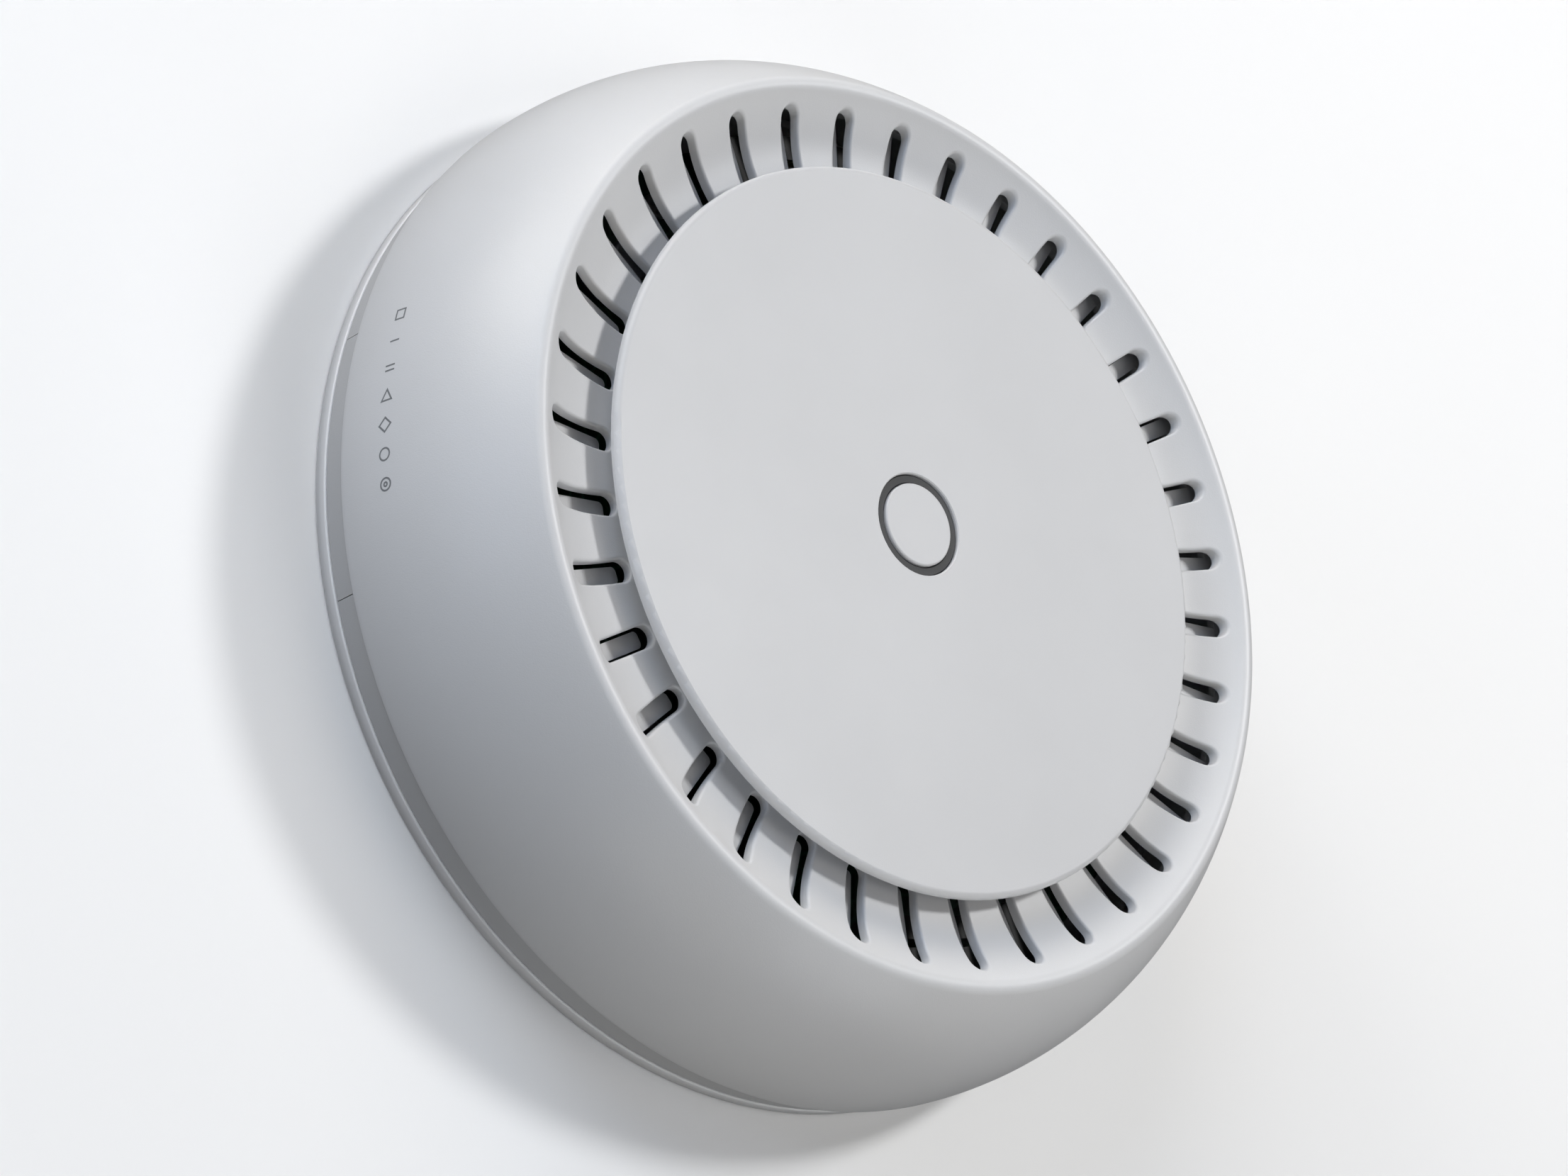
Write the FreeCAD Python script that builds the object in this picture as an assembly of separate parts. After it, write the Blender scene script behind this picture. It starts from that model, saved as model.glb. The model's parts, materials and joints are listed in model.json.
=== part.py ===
"""Ceiling access point: a round wireless access point on a twist-lock mounting plate.

Millimetres. The origin is the centre of the mounting plate's back face, which lies on the ceiling.
+Z points out of the front. The cables leave at the -Y side, and the status lights are there too.
"""
import FreeCAD, Part
import math
import os

V = FreeCAD.Vector
UP = V(0, 0, 1)

# Outer form: three arcs turned about Z
BODY_R = 95.5              # widest radius of the dome
DOME_ARC_R = 51.9          # radius of the dome's side, seen in section
DOME_ARC_Z = 11.4          # height at which the dome is widest
DOME_EDGE_Z = 9.3          # lower edge of the dome
RIM_ARC_R = 2.0            # round ridge at the front
FRONT_Z = 46.1             # top of the ridge
TROUGH_ARC_R = 22.0        # hollow between the ridge and the centre disc
TROUGH_Z = 40.15           # lowest level of the trough, and the floor under the disc
SHELL = 2.2                # wall of the dome
FLOOR_T = 2.0              # floor under the disc, and wall of the trough
UNDER_END_R = 79.5         # where the underside of the trough meets the inside of the dome

# Vents
VENTS = 36
VENT_W = 3.9
VENT_IN_R = 62.8
VENT_OUT_R = 78.1
FINGER_W = 3.0             # tongue of the baffle ring under each vent
FINGER_IN_R = 63.0
FINGER_T = 1.6
FINGER_ROUND = 1.0
FINGER_SLOPE = 0.155
BAFFLE_IN_R = 79.5
BAFFLE_OUT_R = 84.0
BAFFLE_TOP_Z = 39.2
STAKES = 6                 # melted pins that hold the baffle ring
STAKE_CIRCLE_R = 81.5
STAKE_FIRST_AZ = 35.0
STAKE_PIN_R = 0.9
STAKE_HEAD_R = 1.5

# Centre disc and its button
DISC_R = 66.1
DISC_TOP_Z = 45.3
DISC_T = 1.8
DISC_ROUND = 1.0
DISC_SKIRT_R = 59.0
SKIRT_T = 1.8
DISC_HOLE_R = 9.25
DISC_SCREWS = 3
DISC_SCREW_R = 50.0
BUTTON_R = 7.5
BUTTON_FIT = 0.1           # radial clearance of the button in its bezel
BEZEL_DROP = 0.6
STEM_R = 2.0
STEM_END_Z = 36.4
BUTTON_BOARD_Z = 31.4      # underside of the small board that holds the button's switch
BUTTON_BOARD_T = 1.0
BUTTON_BOARD_POSTS = [-10.0, 10.0]
BUTTON_BOARD_SHANK_R = 0.85

# Mounting plate and back cover
PLATE_R = 94.0
PLATE_T = 2.6
PLATE_GAP = 0.3
COVER_Z = PLATE_T + PLATE_GAP
COVER_T = 2.0
BAND_R = 93.9
BAND_TOP_Z = 9.1
LIP_R = 92.7
LIP_TOP_Z = 12.0
LIP_T = 1.7

# Twist lock
STUDS = 3
STUD_CIRCLE_R = 46.0
STUD_FIRST_AZ = 90.0
STUD_NECK_R = 2.5
STUD_HEAD_R = 4.5
STUD_HEAD_Z = 5.2
STUD_TOP_Z = 6.8
TWIST = 18.0               # degrees from locked to free
NECK_GAP = 0.4

# Ceiling fixings
SCREW_PCD = 120.0
SCREW_HOLES = 4
SCREW_HOLE_R = 2.2
SCREW_HEAD_R = 3.4
SCREW_HEAD_DEPTH = 1.2
BOX_SLOT_SPACING = 83.5
BOX_SLOT_LENGTH = 10.0

# Cable recess at the back
RECESS_X = 33.0
RECESS_IN_Y = -58.0
RECESS_TOP_Z = 17.6
RECESS_WALL = 2.0
EXIT_HALF_ANGLE = 14.6     # cable exit in the band, each side of -Y
EXIT_GAP_ANGLE = 0.08

# Circuit board and what holds it
BOARD_R = 78.0
BOARD_Z = 20.0
BOARD_T = 1.6
BOARD_TOP_Z = BOARD_Z + BOARD_T
POST_R = 3.5
POSTS = [(57.3, 40.2), (-57.3, 40.2), (-57.3, -40.2), (57.3, -40.2)]
CASE_SCREW_R = 86.0
CASE_SCREW_AZ = [45.0, 135.0, 225.0, 315.0]
CASE_SCREW_SHANK_R = 1.45
CASE_SCREW_SEAT_Z = 7.3
CAP_R = 3.15               # soft caps over the case screws
BOARD_SCREW_SHANK_R = 1.2
PILOT_GAP = 0.05           # radial gap between a plain shank and its pilot hole

# Sockets, all on one line along the recess
SOCKET_Y = -60.0
JACK_X = [-20.0, 0.0]
JACK_SIZE = (16.0, 21.0, 13.5)
JACK_MOUTH = (11.8, 13.0, 7.0)
JACK_FLOOR = 1.6
DC_X = 16.5
DC_SIZE = (9.0, 14.5, 11.0)
DC_BORE_R = 3.1
DC_PIN_R = 1.0
RESET_X = 27.0
RESET_Z = 14.0
RESET_R = 1.5

RADIO_X = 42.0
RADIO_Y = 14.0
ANTENNA_AZ = [15.0, 105.0, 195.0, 330.0]

# Spring tongue of the plate, whose bump runs in a groove of the back cover
DETENT_R = 74.0
DETENT_AZ = 90.0

# Blank label on the back cover
LABEL_X = 27.0             # half of its pocket's width
LABEL_HALF = 15.0          # half of its pocket's length
LABEL_Y = 14.0
LABEL_T = 0.1

# Status lights along the board's edge
LIGHTS = 7
LIGHT_FIRST_AZ = 256.85
LIGHT_STEP = 3.15


def polar(radius, azimuth, z=0.0):
    angle = math.radians(azimuth)
    return V(radius * math.cos(angle), radius * math.sin(angle), z)


def on_circle(centre, radius, degrees):
    angle = math.radians(degrees)
    return (centre[0] + radius * math.cos(angle), centre[1] + radius * math.sin(angle))


def tube(r_out, z0, z1, r_in=0.0, x=0.0, y=0.0):
    """Cylinder or ring about a line parallel to Z."""
    solid = Part.makeCylinder(r_out, z1 - z0, V(x, y, z0))
    if r_in > 0:
        solid = solid.cut(Part.makeCylinder(r_in, z1 - z0, V(x, y, z0)))
    return solid


def block(x0, x1, y0, y1, z0, z1):
    return Part.makeBox(x1 - x0, y1 - y0, z1 - z0, V(x0, y0, z0))


def around(shape, azimuth):
    """A copy of the shape turned about Z."""
    turned_shape = shape.copy()
    turned_shape.rotate(V(0, 0, 0), UP, azimuth)
    return turned_shape


def repeated(shape, count, first=0.0):
    """Copies of the shape, evenly spaced about Z."""
    return Part.makeCompound([around(shape, first + k * 360.0 / count) for k in range(count)])


def case_screw_centres():
    return [polar(CASE_SCREW_R, azimuth) for azimuth in CASE_SCREW_AZ]


def stake_centres():
    return [polar(STAKE_CIRCLE_R, STAKE_FIRST_AZ + k * 360.0 / STAKES) for k in range(STAKES)]


def disc_screw_centres():
    return [polar(DISC_SCREW_R, 90 + k * 360.0 / DISC_SCREWS) for k in range(DISC_SCREWS)]


def outline(start, *steps):
    """Closed outline of (radius, height) points. A step is a line's end, or an arc's (through, end) pair."""
    edges = []
    here = start
    for step in steps + (start,):
        if isinstance(step[0], tuple):
            through, end = step
            arc = Part.Arc(V(here[0], 0, here[1]), V(through[0], 0, through[1]), V(end[0], 0, end[1]))
            edges.append(arc.toShape())
            here = end
        elif step != here:
            edges.append(Part.makeLine(V(here[0], 0, here[1]), V(step[0], 0, step[1])))
            here = step
    return Part.Wire(edges)


def turned(wire, degrees=360.0, first=0.0):
    """The outline turned about Z through an angle."""
    solid = Part.Face(wire).revolve(V(0, 0, 0), UP, degrees)
    if solid.Volume < 0:
        solid.reverse()
    return around(solid, first)


def stadium(x0, x1, width, z0, z1):
    """Bar along X with two round ends at x0 and x1."""
    r = width / 2.0
    bar = block(x0 + r, x1 - r, -r, r, z0, z1)
    return bar.fuse([tube(r, z0, z1, x=x0 + r), tube(r, z0, z1, x=x1 - r)]).removeSplitter()


def arc_slot(circle_r, half_width, az0, az1, z0, z1):
    """Slot along an arc about Z, with round ends."""
    sweep = turned(
        outline((circle_r - half_width, z0), (circle_r + half_width, z0),
                (circle_r + half_width, z1), (circle_r - half_width, z1)),
        az1 - az0, az0)
    ends = []
    for azimuth in (az0, az1):
        end = polar(circle_r, azimuth)
        ends.append(tube(half_width, z0, z1, x=end.x, y=end.y))
    return sweep.fuse(ends).removeSplitter()


def rounded_block(x0, x1, y0, y1, z0, z1, radius):
    """Block with its four upright edges rounded."""
    solid = block(x0, x1, y0, y1, z0, z1)
    upright = [e for e in solid.Edges if abs(e.tangentAt(e.FirstParameter).z) > 0.9]
    return solid.makeFillet(radius, upright)


def screw(x, y, seat_z, length, shank_r, head_r, head_h, way=1):
    """Cross-slotted screw with its shank up from the seat, or down if way is -1."""
    shank = Part.makeCylinder(shank_r, length)
    head = Part.makeCylinder(head_r, head_h, V(0, 0, -head_h))
    rim = [e for e in head.Edges if e.BoundBox.ZMax < -head_h + 1e-6]
    head = head.makeFillet(head_h * 0.35, rim)
    slot = block(-head_r * 0.6, head_r * 0.6, -head_r * 0.13, head_r * 0.13, -head_h - 1, -head_h * 0.5)
    solid = shank.fuse(head).cut([slot, around(slot, 90)])
    if way < 0:
        solid.rotate(V(0, 0, 0), V(1, 0, 0), 180)
    solid.translate(V(x, y, seat_z))
    return solid


def save(name, shape):
    solids = shape.Solids
    volume = sum(s.Volume for s in solids)
    print(f"{name:22s} solids {len(solids):3d}  volume {volume:11.2f}  valid {shape.isValid()}")
    shape.exportStep(f"parts/{name}.step")


# Section of the front housing ----------------------------------------------------------------------

DOME_CENTRE = (BODY_R - DOME_ARC_R, DOME_ARC_Z)
RIM_Z = FRONT_Z - RIM_ARC_R
RIM_CENTRE = (DOME_CENTRE[0] + math.sqrt((DOME_ARC_R - RIM_ARC_R) ** 2 - (RIM_Z - DOME_ARC_Z) ** 2), RIM_Z)
TROUGH_CENTRE_Z = TROUGH_Z + TROUGH_ARC_R
TROUGH_CENTRE = (RIM_CENTRE[0] - math.sqrt((TROUGH_ARC_R + RIM_ARC_R) ** 2 - (TROUGH_CENTRE_Z - RIM_Z) ** 2),
                 TROUGH_CENTRE_Z)
INNER_TOP_ANGLE = 38.8     # where the inside of the dome's arc ends
DOME_TOP_ANGLE = math.degrees(math.atan2(RIM_CENTRE[1] - DOME_CENTRE[1], RIM_CENTRE[0] - DOME_CENTRE[0]))
TROUGH_TOP_ANGLE = math.degrees(math.atan2(RIM_CENTRE[1] - TROUGH_CENTRE[1],
                                           RIM_CENTRE[0] - TROUGH_CENTRE[0]))


def dome_radius(z, inset=0.0):
    """Radius of the dome's side at a height, or of a surface inset inside it."""
    return DOME_CENTRE[0] + math.sqrt((DOME_ARC_R - inset) ** 2 - (z - DOME_ARC_Z) ** 2)


def front_surface():
    """Steps of the outline from the dome's lower edge, over the ridge, to the bottom of the trough."""
    low_angle = math.degrees(math.asin((DOME_EDGE_Z - DOME_ARC_Z) / DOME_ARC_R))
    return [
        (on_circle(DOME_CENTRE, DOME_ARC_R, (low_angle + DOME_TOP_ANGLE) / 2),
         on_circle(DOME_CENTRE, DOME_ARC_R, DOME_TOP_ANGLE)),
        (on_circle(RIM_CENTRE, RIM_ARC_R, 90),
         on_circle(RIM_CENTRE, RIM_ARC_R, TROUGH_TOP_ANGLE + 180)),
        (on_circle(TROUGH_CENTRE, TROUGH_ARC_R, (TROUGH_TOP_ANGLE - 90) / 2),
         on_circle(TROUGH_CENTRE, TROUGH_ARC_R, -90)),
    ]


def boss_limit():
    """Everything inside the middle of the dome's wall, used to trim the bosses that stand against it."""
    radius = DOME_ARC_R - SHELL / 2
    low_angle = math.degrees(math.asin((DOME_EDGE_Z - DOME_ARC_Z) / radius))
    high = on_circle(DOME_CENTRE, radius, INNER_TOP_ANGLE)
    middle = on_circle(DOME_CENTRE, radius, (INNER_TOP_ANGLE + low_angle) / 2)
    low = on_circle(DOME_CENTRE, radius, low_angle)
    return turned(outline((0, DOME_EDGE_Z), low, (middle, high), (0, high[1])))


def front_shell():
    inner_r = DOME_ARC_R - SHELL
    inner_low_angle = math.degrees(math.asin((DOME_EDGE_Z - DOME_ARC_Z) / inner_r))
    inner_low = on_circle(DOME_CENTRE, inner_r, inner_low_angle)
    floor_z = TROUGH_Z - FLOOR_T
    under_r = TROUGH_ARC_R + FLOOR_T
    under_end = -math.degrees(math.acos((UNDER_END_R - TROUGH_CENTRE[0]) / under_r))
    stem_hole_r = STEM_R + 0.25
    return turned(outline(
        inner_low,
        (dome_radius(DOME_EDGE_Z), DOME_EDGE_Z),
        *front_surface(),
        (stem_hole_r, TROUGH_Z),
        (stem_hole_r, floor_z),
        (TROUGH_CENTRE[0], floor_z),
        (on_circle(TROUGH_CENTRE, under_r, (under_end - 90) / 2),
         on_circle(TROUGH_CENTRE, under_r, under_end)),
        on_circle(DOME_CENTRE, inner_r, INNER_TOP_ANGLE),
        (on_circle(DOME_CENTRE, inner_r, (INNER_TOP_ANGLE + inner_low_angle) / 2), inner_low),
    ))


def front_housing():
    vents = repeated(stadium(VENT_IN_R, VENT_OUT_R, VENT_W, 30, FRONT_Z), VENTS)
    shell = front_shell().cut(vents)
    bosses = []
    holes = []
    for c in case_screw_centres():
        bosses.append(tube(POST_R, LIP_TOP_Z, FRONT_Z, x=c.x, y=c.y).common(boss_limit()))
        holes.append(tube(CASE_SCREW_SHANK_R + PILOT_GAP, LIP_TOP_Z, LIP_TOP_Z + 14, x=c.x, y=c.y))
    head_top = BAFFLE_TOP_Z - FINGER_T - 0.2
    for c in stake_centres():
        bosses.append(tube(1.7, BAFFLE_TOP_Z, 43.4, x=c.x, y=c.y))
        bosses.append(tube(STAKE_PIN_R, head_top - 0.3, BAFFLE_TOP_Z, x=c.x, y=c.y))
        bosses.append(tube(STAKE_HEAD_R, head_top - 0.7, head_top, x=c.x, y=c.y))
    for x in BUTTON_BOARD_POSTS:
        bosses.append(tube(2.5, BUTTON_BOARD_Z + BUTTON_BOARD_T, TROUGH_Z - FLOOR_T, x=x))
        holes.append(tube(BUTTON_BOARD_SHANK_R + PILOT_GAP, BUTTON_BOARD_Z + BUTTON_BOARD_T,
                          TROUGH_Z - FLOOR_T - 0.5, x=x))
    for c in disc_screw_centres():
        holes.append(tube(1.6, TROUGH_Z - FLOOR_T, TROUGH_Z, x=c.x, y=c.y))
    return shell.fuse(bosses).cut(Part.makeCompound(holes)).removeSplitter()


def vent_baffle_ring():
    """Ring under the vents, with a tongue below each of them that hides the inside but lets air past."""
    slope_top = BAFFLE_TOP_Z - FINGER_SLOPE * (BAFFLE_IN_R - FINGER_IN_R)
    under = BAFFLE_TOP_Z - FINGER_T
    tongues = turned(outline((FINGER_IN_R, slope_top - FINGER_T), (FINGER_IN_R, slope_top),
                             (BAFFLE_IN_R, BAFFLE_TOP_Z), (BAFFLE_IN_R + 1, BAFFLE_TOP_Z),
                             (BAFFLE_IN_R + 1, under), (BAFFLE_IN_R, under)))
    half = FINGER_W / 2
    bar = block(FINGER_IN_R, BAFFLE_IN_R + 0.8, -half, half, 30, 42)
    nose = [e for e in bar.Edges if e.BoundBox.XMax < FINGER_IN_R + 0.01 and e.BoundBox.ZLength > 1]
    bar = bar.makeFillet(FINGER_ROUND, nose)
    ring = tube(BAFFLE_OUT_R, under, BAFFLE_TOP_Z, BAFFLE_IN_R)
    fingers = tongues.common(repeated(bar, VENTS))
    holes = [tube(STAKE_PIN_R + 0.05, 30, 42, x=c.x, y=c.y) for c in stake_centres()]
    notches = [tube(POST_R + 0.3, 30, 42, x=c.x, y=c.y) for c in case_screw_centres()]
    return ring.fuse(fingers).cut(holes + notches).removeSplitter()


# Front disc and button -----------------------------------------------------------------------------

def front_disc():
    under = DISC_TOP_Z - DISC_T
    edge = DISC_R - DISC_ROUND
    corner = on_circle((edge, DISC_TOP_Z - DISC_ROUND), DISC_ROUND, 45)
    disc = turned(outline(
        (DISC_HOLE_R, DISC_TOP_Z - 0.2), (DISC_HOLE_R + 0.2, DISC_TOP_Z), (edge, DISC_TOP_Z),
        (corner, (DISC_R, DISC_TOP_Z - DISC_ROUND)), (DISC_R, under + 0.3), (DISC_R - 0.3, under),
        (DISC_SKIRT_R, under), (DISC_SKIRT_R, TROUGH_Z), (DISC_SKIRT_R - SKIRT_T, TROUGH_Z),
        (DISC_SKIRT_R - SKIRT_T, under), (DISC_HOLE_R, under)))
    bosses = []
    pilots = []
    for c in disc_screw_centres():
        bosses.append(tube(3.2, TROUGH_Z, under, x=c.x, y=c.y))
        pilots.append(tube(BOARD_SCREW_SHANK_R + PILOT_GAP, TROUGH_Z, under + 0.6, x=c.x, y=c.y))
    for k in range(6):
        rib = block(13, DISC_SKIRT_R - 1, -0.6, 0.6, under - 1.6, under)
        bosses.append(around(rib, 30 + 60 * k))
    return disc.fuse(bosses).cut(Part.makeCompound(pilots)).removeSplitter()


def disc_screws():
    seat_z = TROUGH_Z - FLOOR_T
    return Part.makeCompound([screw(c.x, c.y, seat_z, 5.5, BOARD_SCREW_SHANK_R, 2.5, 1.6)
                              for c in disc_screw_centres()])


def button_bezel():
    """Dark ring around the button, sunk a little below the disc and trapped behind it by a flange."""
    top = DISC_TOP_Z - BEZEL_DROP
    under = DISC_TOP_Z - DISC_T
    r_in = BUTTON_R + BUTTON_FIT
    r_out = DISC_HOLE_R - 0.05
    flange_r = 11.5
    return turned(outline((r_in, under - 1.5), (flange_r, under - 1.5), (flange_r, under), (r_out, under),
                          (r_out, top - 0.2), (r_out - 0.2, top), (r_in + 0.2, top), (r_in, top - 0.2)))


def mode_button():
    cap_under = DISC_TOP_Z - 2.0
    flange_top = DISC_TOP_Z - DISC_T - 1.6
    corner = on_circle((BUTTON_R - 0.35, DISC_TOP_Z - 0.35), 0.35, 45)
    return turned(outline(
        (0, STEM_END_Z), (STEM_R, STEM_END_Z), (STEM_R, cap_under), (BUTTON_R - 1.3, cap_under),
        (BUTTON_R - 1.3, flange_top - 1.0), (BUTTON_R + 1.1, flange_top - 1.0), (BUTTON_R + 1.1, flange_top),
        (BUTTON_R, flange_top), (BUTTON_R, DISC_TOP_Z - 0.35), (corner, (BUTTON_R - 0.35, DISC_TOP_Z)),
        (0, DISC_TOP_Z)))


def button_spring():
    """Coil spring between the floor and the cap, around the stem."""
    wire_r = 0.25
    mean_r = 4.2
    low = TROUGH_Z + wire_r + 0.02
    high = DISC_TOP_Z - 2.0 - wire_r - 0.02
    turns = 3
    path = Part.makeHelix((high - low) / turns, high - low, mean_r)
    path.translate(V(0, 0, low))
    section = Part.Wire([Part.makeCircle(wire_r, V(mean_r, 0, low), V(0, 1, 0))])
    return Part.Wire(path.Edges).makePipeShell([section], True, True)


def switch_plunger():
    return tube(1.7, STEM_END_Z - 1.5, STEM_END_Z)


def button_switch():
    board_top = BUTTON_BOARD_Z + BUTTON_BOARD_T
    body = rounded_block(-3, 3, -3, 3, board_top, STEM_END_Z - 0.8, 0.4)
    return body.cut(tube(1.75, STEM_END_Z - 2.2, STEM_END_Z))


def button_board():
    board = rounded_block(-13, 13, -9, 9, BUTTON_BOARD_Z, BUTTON_BOARD_Z + BUTTON_BOARD_T, 2.0)
    return board.cut([tube(1.1, BUTTON_BOARD_Z, BUTTON_BOARD_Z + BUTTON_BOARD_T, x=x)
                      for x in BUTTON_BOARD_POSTS])


def button_board_screws():
    return Part.makeCompound([screw(x, 0, BUTTON_BOARD_Z, 5.0, BUTTON_BOARD_SHANK_R, 1.9, 1.2)
                              for x in BUTTON_BOARD_POSTS])


def flat_strip(points, bend_r, width, thickness):
    """Flat flexible strip along a bent line of (y, z) points in the plane x = 0."""
    pieces = []
    here = V(0, *points[0])
    for k in range(1, len(points)):
        target = V(0, *points[k])
        along = (target - here).normalize()
        stop = target
        if k < len(points) - 1:
            onward = (V(0, *points[k + 1]) - target).normalize()
            turn = along.getAngle(onward)
            stop = target - along * (bend_r * math.tan(turn / 2))
        across = V(1, 0, 0).cross(along)
        corner = here - across * (thickness / 2) - V(width / 2, 0, 0)
        wide = V(width, 0, 0)
        thick = across * thickness
        loop = [corner, corner + wide, corner + wide + thick, corner + thick, corner]
        face = Part.Face(Part.makePolygon(loop))
        pieces.append(face.extrude(stop - here))
        if k < len(points) - 1:
            side = 1 if across.dot(onward) > 0 else -1
            centre = stop + across * (side * bend_r)
            end_face = face.copy()
            end_face.translate(stop - here)
            pieces.append(end_face.revolve(centre, V(side, 0, 0), math.degrees(turn)))
            here = target + onward * (bend_r * math.tan(turn / 2))
    return pieces[0].fuse(pieces[1:]).removeSplitter()


def button_flex():
    high = BUTTON_BOARD_Z - 1.2
    low = BOARD_TOP_Z + 1.2
    return flat_strip([(-8.0, high), (-15.0, high), (-18.0, low), (-24.0, low)], 1.5, 5.0, 0.3)


def flex_connectors():
    upper = block(-4, 4, -8.0, -3.5, BUTTON_BOARD_Z - 2.0, BUTTON_BOARD_Z)
    lower = block(-4, 4, -28.5, -24.0, BOARD_TOP_Z, BOARD_TOP_Z + 2.0)
    return Part.makeCompound([upper, lower])


# Back cover, plate and cable recess ----------------------------------------------------------------

def recess_space(grow=0.0):
    """The cable recess, or the block that its walls are cut from when grown."""
    top = RECESS_TOP_Z + grow
    space = block(-RECESS_X - grow, RECESS_X + grow, -100, RECESS_IN_Y + grow, COVER_Z, top)
    round_r = LIP_R - LIP_T + 0.5 - RECESS_WALL + grow
    return space.common(tube(round_r, COVER_Z, top))


def socket_cutouts():
    """Windows in the recess's end wall and top for the sockets, and the reset button's hole."""
    gap = 0.15
    y0 = SOCKET_Y - gap
    y1 = RECESS_IN_Y + RECESS_WALL + 1
    cuts = []
    for x in JACK_X:
        half = JACK_SIZE[0] / 2 + gap
        cuts.append(block(x - half, x + half, y0, y1, BOARD_Z - JACK_SIZE[2] - gap, BOARD_Z + 1))
    half = DC_SIZE[0] / 2 + gap
    cuts.append(block(DC_X - half, DC_X + half, y0, y1, BOARD_Z - DC_SIZE[2] - gap, BOARD_Z + 1))
    cuts.append(Part.makeCylinder(RESET_R + 0.1, y1 - y0, V(RESET_X, y0, RESET_Z), V(0, 1, 0)))
    return cuts


def stud_azimuths():
    return [STUD_FIRST_AZ + k * 360.0 / STUDS for k in range(STUDS)]


def lock_pockets():
    """Closed pockets over the keyhole slots, so that nothing can reach the electronics through them."""
    walls = []
    hollows = []
    for azimuth in stud_azimuths():
        start = azimuth - TWIST
        reach = STUD_HEAD_R + 0.6
        neck = STUD_NECK_R + NECK_GAP
        top = STUD_TOP_Z + 0.8
        walls.append(arc_slot(STUD_CIRCLE_R, reach + 1.4, start, azimuth, COVER_Z, top + 1.4))
        hollows.append(arc_slot(STUD_CIRCLE_R, reach, start, azimuth, COVER_Z + COVER_T, top))
        hollows.append(arc_slot(STUD_CIRCLE_R, neck, start, azimuth, COVER_Z - 1, COVER_Z + COVER_T))
        entry = polar(STUD_CIRCLE_R, start)
        hollows.append(tube(STUD_HEAD_R + 0.5, COVER_Z - 1, COVER_Z + COVER_T, x=entry.x, y=entry.y))
    return walls, hollows


def back_cover():
    inner_z = COVER_Z + COVER_T
    lip_in = LIP_R - LIP_T
    tray = turned(outline((0, COVER_Z), (BAND_R - 0.3, COVER_Z), (BAND_R, COVER_Z + 0.3),
                          (BAND_R, BAND_TOP_Z), (LIP_R, BAND_TOP_Z), (LIP_R, LIP_TOP_Z - 0.3),
                          (LIP_R - 0.3, LIP_TOP_Z), (lip_in, LIP_TOP_Z), (lip_in, inner_z), (0, inner_z)))
    added = [recess_space(RECESS_WALL)]
    removed = [recess_space(), *socket_cutouts()]
    added += [tube(POST_R, inner_z, BOARD_Z, x=x, y=y) for x, y in POSTS]
    removed += [tube(BOARD_SCREW_SHANK_R + PILOT_GAP, BOARD_Z - 9, BOARD_Z, x=x, y=y) for x, y in POSTS]
    for c in case_screw_centres():
        added.append(tube(POST_R + 0.5, inner_z, LIP_TOP_Z, x=c.x, y=c.y))
        removed.append(tube(CAP_R + 0.05, COVER_Z - 1, CASE_SCREW_SEAT_Z, x=c.x, y=c.y))
        removed.append(tube(1.7, CASE_SCREW_SEAT_Z, LIP_TOP_Z, x=c.x, y=c.y))
    walls, hollows = lock_pockets()
    exit_section = outline((lip_in - 4, COVER_Z - 1), (BAND_R + 1, COVER_Z - 1), (BAND_R + 1, BAND_TOP_Z),
                           (lip_in - 4, BAND_TOP_Z))
    exit_cut = turned(exit_section, 2 * EXIT_HALF_ANGLE, 270 - EXIT_HALF_ANGLE)
    detent = arc_slot(DETENT_R, 2.2, DETENT_AZ - TWIST, DETENT_AZ, COVER_Z - 1, COVER_Z + 1.0)
    label_pocket = block(-LABEL_X, LABEL_X, LABEL_Y - LABEL_HALF, LABEL_Y + LABEL_HALF,
                         COVER_Z - 1, COVER_Z + LABEL_T)
    cover = tray.fuse(added + walls)
    return cover.cut(removed + hollows + [exit_cut, detent, label_pocket]).removeSplitter()


def rating_label():
    x = LABEL_X - 0.3
    y = LABEL_HALF - 0.3
    return rounded_block(-x, x, LABEL_Y - y, LABEL_Y + y, COVER_Z, COVER_Z + LABEL_T, 1.5)


def cable_cover():
    """Snap-in piece of the band that closes the cable exit."""
    half = EXIT_HALF_ANGLE - EXIT_GAP_ANGLE
    z0 = COVER_Z
    z1 = BAND_TOP_Z - 0.15
    section = outline((BAND_R - 1.9, z0), (BAND_R - 0.3, z0), (BAND_R, z0 + 0.3), (BAND_R, z1),
                      (BAND_R - 1.9, z1))
    plate = turned(section, 2 * half, 270 - half)
    legs = []
    for x in (-18, 18):
        leg = block(x - 1, x + 1, -BAND_R + 1, -80, z0 + 1.0, z1 - 1.0)
        barb = block(x - 1, x + 1, -83, -80, z1 - 1.0, z1 - 0.2)
        legs += [leg.common(tube(BAND_R - 1, z0, z1)), barb]
    return plate.fuse(legs).removeSplitter()


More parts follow.
